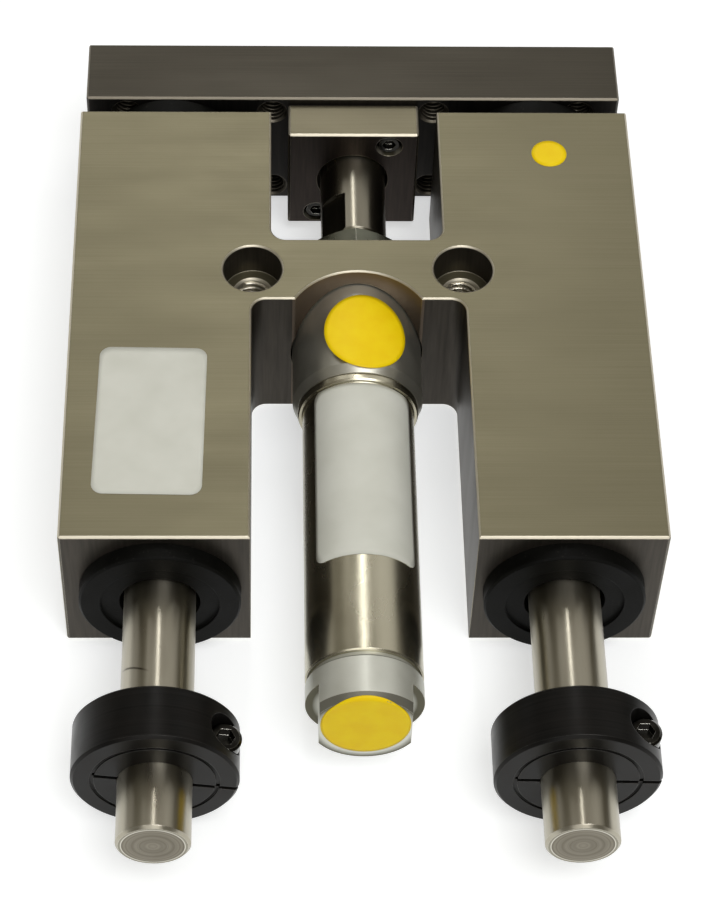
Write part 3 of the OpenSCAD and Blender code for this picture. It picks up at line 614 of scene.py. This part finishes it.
def moulded(name, s):
    material, tree, surface = startMaterial(name)
    surface.inputs["Specular IOR Level"].default_value = s["specular"]
    grain = marks(tree, [s["grain"]] * 3)
    patches = marks(tree, [s["patch"]] * 3, detail=4.0)
    specks = marks(tree, [s["speckSize"]] * 3, detail=1.0, contrast=s["speckContrast"])
    rounded = edges(tree, s["wear"])[1]
    colour = layOver(tree, *s["colours"], patches)
    colour = layOver(tree, colour, s["speck"], specks, s["specks"])
    finishSurface(tree, surface, s, colour, patches, grain, rounded)
    return material


# Paper and vinyl stickers: an even colour, slightly glossy, with soft dents from the metal under them

vinylSettings = {
    # printed vinyl: full yellow with a plastic sheen
    "colours": ("#fbd402", "#ffde0c"),
    "roughness": (0.40, 0.52),
    "specular": 0.2,
    "fibre": 0.5,  # mm
    "fibreBump": (0.3, 0.01),  # strength, and depth in mm
    "dent": 3.5,
    "bump": 0.6,
    "depth": 0.04,  # mm
}

stickerSettings = {
    "yellow vinyl": vinylSettings,
    "white label paper": dict(vinylSettings, **{
        # coated paper: off-white and nearly matt
        "colours": ("#d2d3c9", "#dadbd2"), "roughness": (0.5, 0.62), "specular": 0.3,
        "dent": 7.0, "depth": 0.018}),
}


def stickerStock(name, s):
    material, tree, surface = startMaterial(name)
    surface.inputs["Specular IOR Level"].default_value = s["specular"]
    fibres = marks(tree, [s["fibre"]] * 3)
    dents = marks(tree, [s["dent"]] * 3, detail=2.0)
    strength, depth = s["fibreBump"]
    fine = addNode(tree, "ShaderNodeBump", {
        "Strength": strength, "Distance": depth * millimetre, "Height": fibres})
    colour = layOver(tree, *s["colours"], dents)
    finishSurface(tree, surface, s, colour, fibres, dents, fine.outputs["Normal"])
    return material


# Centre and radius in mm of one tapped hole of each mirrored pair
def tappedHoles(*names):
    holes = []
    for mount in map(mountOf, names):
        x, y, z = [c / millimetre for c in mount["pos_m"]]
        dims = mount["dims"]
        rise = dims.get("spacing_y_mm", 0) / 2
        for up in sorted({-rise, rise}):
            holes.append(((x + dims["spacing_x_mm"] / 2, y, z + up), dims["hole_r_mm"]))
    return holes


# The round relief for the cylinder's head, in mm
relief = {
    "gap": 1.5,  # left round the head
    "reach": 6.6,  # into the web
}


def reliefWall(s):
    radius = halfWidthOf("cylinder_head") + s["gap"]
    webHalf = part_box("nose_nut")[0].y / millimetre
    return (0, s["reach"] - webHalf - radius, 0), radius


addCamera(cameraSettings)
addRoom(roomSettings)
addFloor(floorSettings)
print("Camera, room and floor made")

finishes = {name: bareMetal(s) for name, s in metalSettings.items()}
finishes.update({name: moulded(name, s) for name, s in mouldedSettings.items()})
finishes.update({name: stickerStock(name, s) for name, s in stickerSettings.items()})
finishes["body"] = anodisedAluminium(
    bodySettings, halfWidthOf("slide_body"), ("Z", tappedHoles("mounting_holes")), reliefWall(relief))
finishes["plate"] = anodisedAluminium(
    plateSettings, halfWidthOf("tool_plate"), ("Y", tappedHoles("tool_holes_outer", "tool_holes_inner")))
finishes["block"] = anodisedAluminium(blockSettings, halfWidthOf("coupling_block"), ("Y", ()))
finishes["black oxide"] = blackOxide(oxideSettings)
print("Materials made:", len(finishes))

# Which finish each CAD piece takes, by the start of its name
finishOfPiece = {
    "slide_body": "body",
    "tool_plate": "plate",
    "coupling_block": "block",
    "bearing_shell": "bearing steel",
    "bearing_balls": "bearing steel",
    "bearing_cage": "acetal cage",
    "wiper_seals": "nitrile seal",
    "rod_seal": "nitrile seal",
    "rod_wiper": "nitrile seal",
    "tube_seals": "nitrile seal",
    "piston_seals": "nitrile seal",
    "bumper": "bumper urethane",
    "cylinder_head": "turned head aluminium",
    "cylinder_rear_cap": "turned aluminium",
    "piston": "turned aluminium",
    "rod_bushing": "sintered bronze",
    "nose_nut": "zinc plated steel",
    "cylinder_tube": "drawn stainless tube",
    "piston_rod": "ground shaft steel",
    "guide_shaft": "ground shaft steel",
    "rod_coupler": "turned coupler steel",
    "block_screws": "blackened screw steel",
    "shaft_screws": "blackened screw steel",
    "stop_collar": "black oxide",
    "collar_screw": "blackened screw steel",
}


def finishPieces(choices):
    for name, piece in frame["nodes"].items():
        start = max((c for c in choices if name.startswith(c)), key=len)
        piece.data.materials.clear()
        piece.data.materials.append(finishes[choices[start]])


finishPieces(finishOfPiece)
print("CAD pieces finished")


# Stickers and labels

def addPiece(name, shape, finish, body="base"):
    bmesh.ops.recalc_face_normals(shape, faces=shape.faces)
    mesh = bpy.data.meshes.new(name)
    shape.to_mesh(mesh)
    shape.free()
    mesh.polygons.foreach_set("use_smooth", [True] * len(mesh.polygons))
    mesh.materials.append(finishes[finish])
    piece = bpy.data.objects.new(name, mesh)
    bpy.context.scene.collection.objects.link(piece)
    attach(piece, body)


# A thin sheet from rings of points inside its outline. place turns a point across the sheet, and its
# height above the surface, into a point in space
def thinSheet(outline, place, thick, rings=10):
    shape = bmesh.new()
    loops = []
    for side in (1, 0):
        centre = shape.verts.new(place(0, 0, side * thick))
        steps = []
        for k in range(1, rings + 1):
            share = k / rings
            steps.append([shape.verts.new(place(u * share, v * share, side * thick)) for u, v in outline])
        for ring, nextRing in zip([None] + steps, steps):
            for i in range(len(outline)):
                j = (i + 1) % len(outline)
                if ring is None:
                    shape.faces.new((centre, nextRing[i], nextRing[j]))
                else:
                    shape.faces.new((ring[i], nextRing[i], nextRing[j], ring[j]))
        loops.append(steps[-1])
    for i in range(len(outline)):
        j = (i + 1) % len(outline)
        shape.faces.new((loops[0][i], loops[1][i], loops[1][j], loops[0][j]))
    return shape


def ovalOutline(width, length, points=72):
    turns = [2 * math.pi * i / points for i in range(points)]
    return [(width / 2 * math.cos(a), length / 2 * math.sin(a)) for a in turns]


def roundedOutline(width, length, radius, arc=8, straight=6):
    corners = [(1, 1, 0), (-1, 1, 90), (-1, -1, 180), (1, -1, 270)]
    points = []
    for sx, sy, start in corners:
        for i in range(arc + 1):
            a = math.radians(start + 90 * i / arc)
            x = sx * (width / 2 - radius) + radius * math.cos(a)
            y = sy * (length / 2 - radius) + radius * math.sin(a)
            points.append((x, y))
    outline = []
    for here, there in zip(points, points[1:] + points[:1]):
        outline.append(here)
        if math.dist(here, there) > 2 * radius:
            for k in range(1, straight):
                outline.append(tuple(a + (b - a) * k / straight for a, b in zip(here, there)))
    return outline


stickerShape = {
    "size": (15.5, 17.3),  # mm, a slightly oval dot
    "thick": 0.08,
    "lift": 0.02,
    "headBend": 22.0,  # radius it springs back to over the head
    "headTilt": 9.0,  # degrees
    "rearRise": 1.2,  # how far above the axis it was stuck on the cap
    "capFlat": 7.95,  # from the axis to each wrench flat
    "capChamfer": 1.1,
    "flatFold": (0.2, 0.95),  # out and back, for each mm past a wrench flat
    "rimFold": 0.85,  # back, for each mm past the chamfer's start
    "dotDiameter": 6.75,
    "dotFromRight": 15.7,
    "dotFromRear": 11.2,
}


def addStickers(s):
    head, cap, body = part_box("cylinder_head"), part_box("cylinder_rear_cap"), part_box("slide_body")
    port = mountOf("head_port")
    turn = math.atan2(port["axis"][0], port["axis"][2])
    middle = (head[0] + head[1]) / 2
    radius = (head[1].x - head[0].x) / 2
    tilt = math.radians(s["headTilt"])

    def overHead(u, v, height):
        # Its sides lift off the head, which is rounder than the vinyl likes to bend
        bend = s["headBend"] * millimetre
        r = bend + (s["lift"] + height) * millimetre
        angle = u * millimetre / bend
        up, aside = r * math.cos(angle) - bend, r * math.sin(angle)
        x = radius * math.sin(turn) + aside * math.cos(tilt) + up * math.sin(tilt)
        z = radius * math.cos(turn) + up * math.cos(tilt) - aside * math.sin(tilt)
        return Vector((x, port["pos_m"][1] + v * millimetre, middle.z + z))

    oval = ovalOutline(*s["size"])
    sheet = thinSheet(oval, overHead, s["thick"])
    addPiece("port_sticker_head", sheet, "yellow vinyl")

    capRadius = (cap[1].z - cap[0].z) / 2 / millimetre

    def overCap(u, v, height):
        # Wider than the face, so it folds back over the two flats and the chamfer at the top
        up = v + s["rearRise"]
        fold = s["capFlat"] - s["lift"]
        outward, back = s["flatFold"]
        side = max(0.0, abs(u) - fold)
        x = math.copysign(min(abs(u), fold) + outward * side, u)
        rim = max(0.0, math.hypot(x, up) - (capRadius - s["capChamfer"]))
        out = s["lift"] + height - back * side - s["rimFold"] * rim
        return Vector((x, cap[0].y / millimetre - out, middle.z / millimetre + up)) * millimetre

    sheet = thinSheet(oval, overCap, s["thick"], rings=16)
    addPiece("port_sticker_rear", sheet, "yellow vinyl")

    def onTop(u, v, height):
        x = body[1].x / millimetre - s["dotFromRight"] + u
        y = body[1].y / millimetre - s["dotFromRear"] + v
        return Vector((x, y, body[1].z / millimetre + s["lift"] / 2 + height)) * millimetre

    dot = ovalOutline(s["dotDiameter"], s["dotDiameter"], points=48)
    sheet = thinSheet(dot, onTop, s["thick"] / 2, rings=4)
    addPiece("dot_sticker", sheet, "yellow vinyl")


labelShape = {
    "armSize": (19.4, 32.9),  # mm
    "armMiddle": (15.35, 25.7),  # from the body's front left corner
    "armTurn": 1.0,  # degrees
    "armLift": 0.01,
    "tubeLength": 38.3,
    "tubeFromHead": 1.5,
    "tubeWrap": 115,  # degrees
    "tubeTurn": 5,
    "tubeLift": 0.02,
    "radius": 2.1,
    "thick": 0.05,
}


def addLabels(s):
    body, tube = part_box("slide_body"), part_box("cylinder_tube")
    corner = Vector((body[0].x, body[0].y, body[1].z)) / millimetre
    armTurn = Matrix.Rotation(-math.radians(s["armTurn"]), 3, "Z")

    def onArm(u, v, height):
        middle = Vector((*s["armMiddle"], s["armLift"] + height))
        return (corner + middle + armTurn @ Vector((u, v, 0))) * millimetre

    outline = roundedOutline(*s["armSize"], s["radius"])
    sheet = thinSheet(outline, onArm, s["thick"], rings=12)
    addPiece("arm_label", sheet, "white label paper")

    radius = halfWidthOf("cylinder_rear_cap") * millimetre
    axisZ = (tube[0].z + tube[1].z) / 2
    arc = math.radians(s["tubeWrap"]) * radius / millimetre

    def onTube(u, v, height):
        r = radius + (s["tubeLift"] + height) * millimetre
        angle = u * millimetre / radius + math.radians(s["tubeTurn"])
        y = tube[1].y / millimetre - s["tubeFromHead"] - s["tubeLength"] / 2 + v
        return Vector((r * math.sin(angle), y * millimetre, axisZ + r * math.cos(angle)))

    outline = roundedOutline(arc, s["tubeLength"], s["radius"], straight=24)
    sheet = thinSheet(outline, onTube, s["thick"], rings=14)
    addPiece("tube_label", sheet, "white label paper")


addStickers(stickerShape)
addLabels(labelShape)
print("Stickers and labels made")


# Threads in the tapped holes: one ridge wound down each bore

mountingThread = {
    "pitch": 1.27,  # mm
    "depth": 0.45,
    "length": 24.35,  # right through the web
    "endGap": 0.6,
    "wallGap": 0.01,
    "halfFoot": 0.42,  # times the pitch
    "turnSteps": 28,
}

toolThread = dict(mountingThread, **{"pitch": 1.0, "depth": 0.35})


# mouth is the middle of the hole's mouth, and axis points out of it
def threadRidge(shape, mouth, axis, radius, length, s):
    inward = -Vector(axis).normalized()
    side = inward.orthogonal().normalized()
    other = inward.cross(side)
    steps = int((length - 2 * s["endGap"]) / s["pitch"] * s["turnSteps"])
    rows = []
    for i in range(steps + 1):
        angle = 2 * math.pi * i / s["turnSteps"]
        out = side * math.cos(angle) + other * math.sin(angle)
        depth = s["endGap"] + s["pitch"] * i / s["turnSteps"]
        foot = radius - s["wallGap"]
        points = ((foot, -s["halfFoot"]), (radius - s["depth"], 0), (foot, s["halfFoot"]))
        rows.append([
            shape.verts.new(mouth + (out * r + inward * (depth + offset * s["pitch"])) * millimetre)
            for r, offset in points])
    for here, there in zip(rows, rows[1:]):
        for k in range(2):
            shape.faces.new((here[k], here[k + 1], there[k + 1], there[k]))
        shape.faces.new((here[2], here[0], there[0], there[2]))
    shape.faces.new(rows[0])
    shape.faces.new(rows[-1])


def addMountingThreads(s):
    holes = mountOf("mounting_holes")
    shape = bmesh.new()
    for side in (-1, 1):
        aside = Vector((side * holes["dims"]["spacing_x_mm"] / 2, 0, 0)) * millimetre
        mouth = Vector(holes["pos_m"]) + aside
        threadRidge(shape, mouth, holes["axis"], holes["dims"]["hole_r_mm"], s["length"], s)
    addPiece("mounting_threads", shape, "cut aluminium thread")


def addToolThreads(s):
    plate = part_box("tool_plate")
    length = (plate[1].y - plate[0].y) / millimetre
    shape = bmesh.new()
    for name in ("tool_holes_outer", "tool_holes_inner"):
        holes = mountOf(name)
        spacing = Vector((holes["dims"]["spacing_x_mm"], 0, holes["dims"]["spacing_y_mm"])) / 2
        for sx, sz in ((-1, -1), (-1, 1), (1, -1), (1, 1)):
            mouth = Vector(holes["pos_m"]) + Vector((sx * spacing.x, 0, sz * spacing.z)) * millimetre
            threadRidge(shape, mouth, holes["axis"], holes["dims"]["hole_r_mm"], length, s)
    # The plate's threads take the plate's finish, and so its dark painted shade in the holes
    addPiece("tool_threads", shape, "plate", "carriage")


addMountingThreads(mountingThread)
addToolThreads(toolThread)
print("Threads made")

bpy.context.scene.view_settings.view_transform = "Standard"
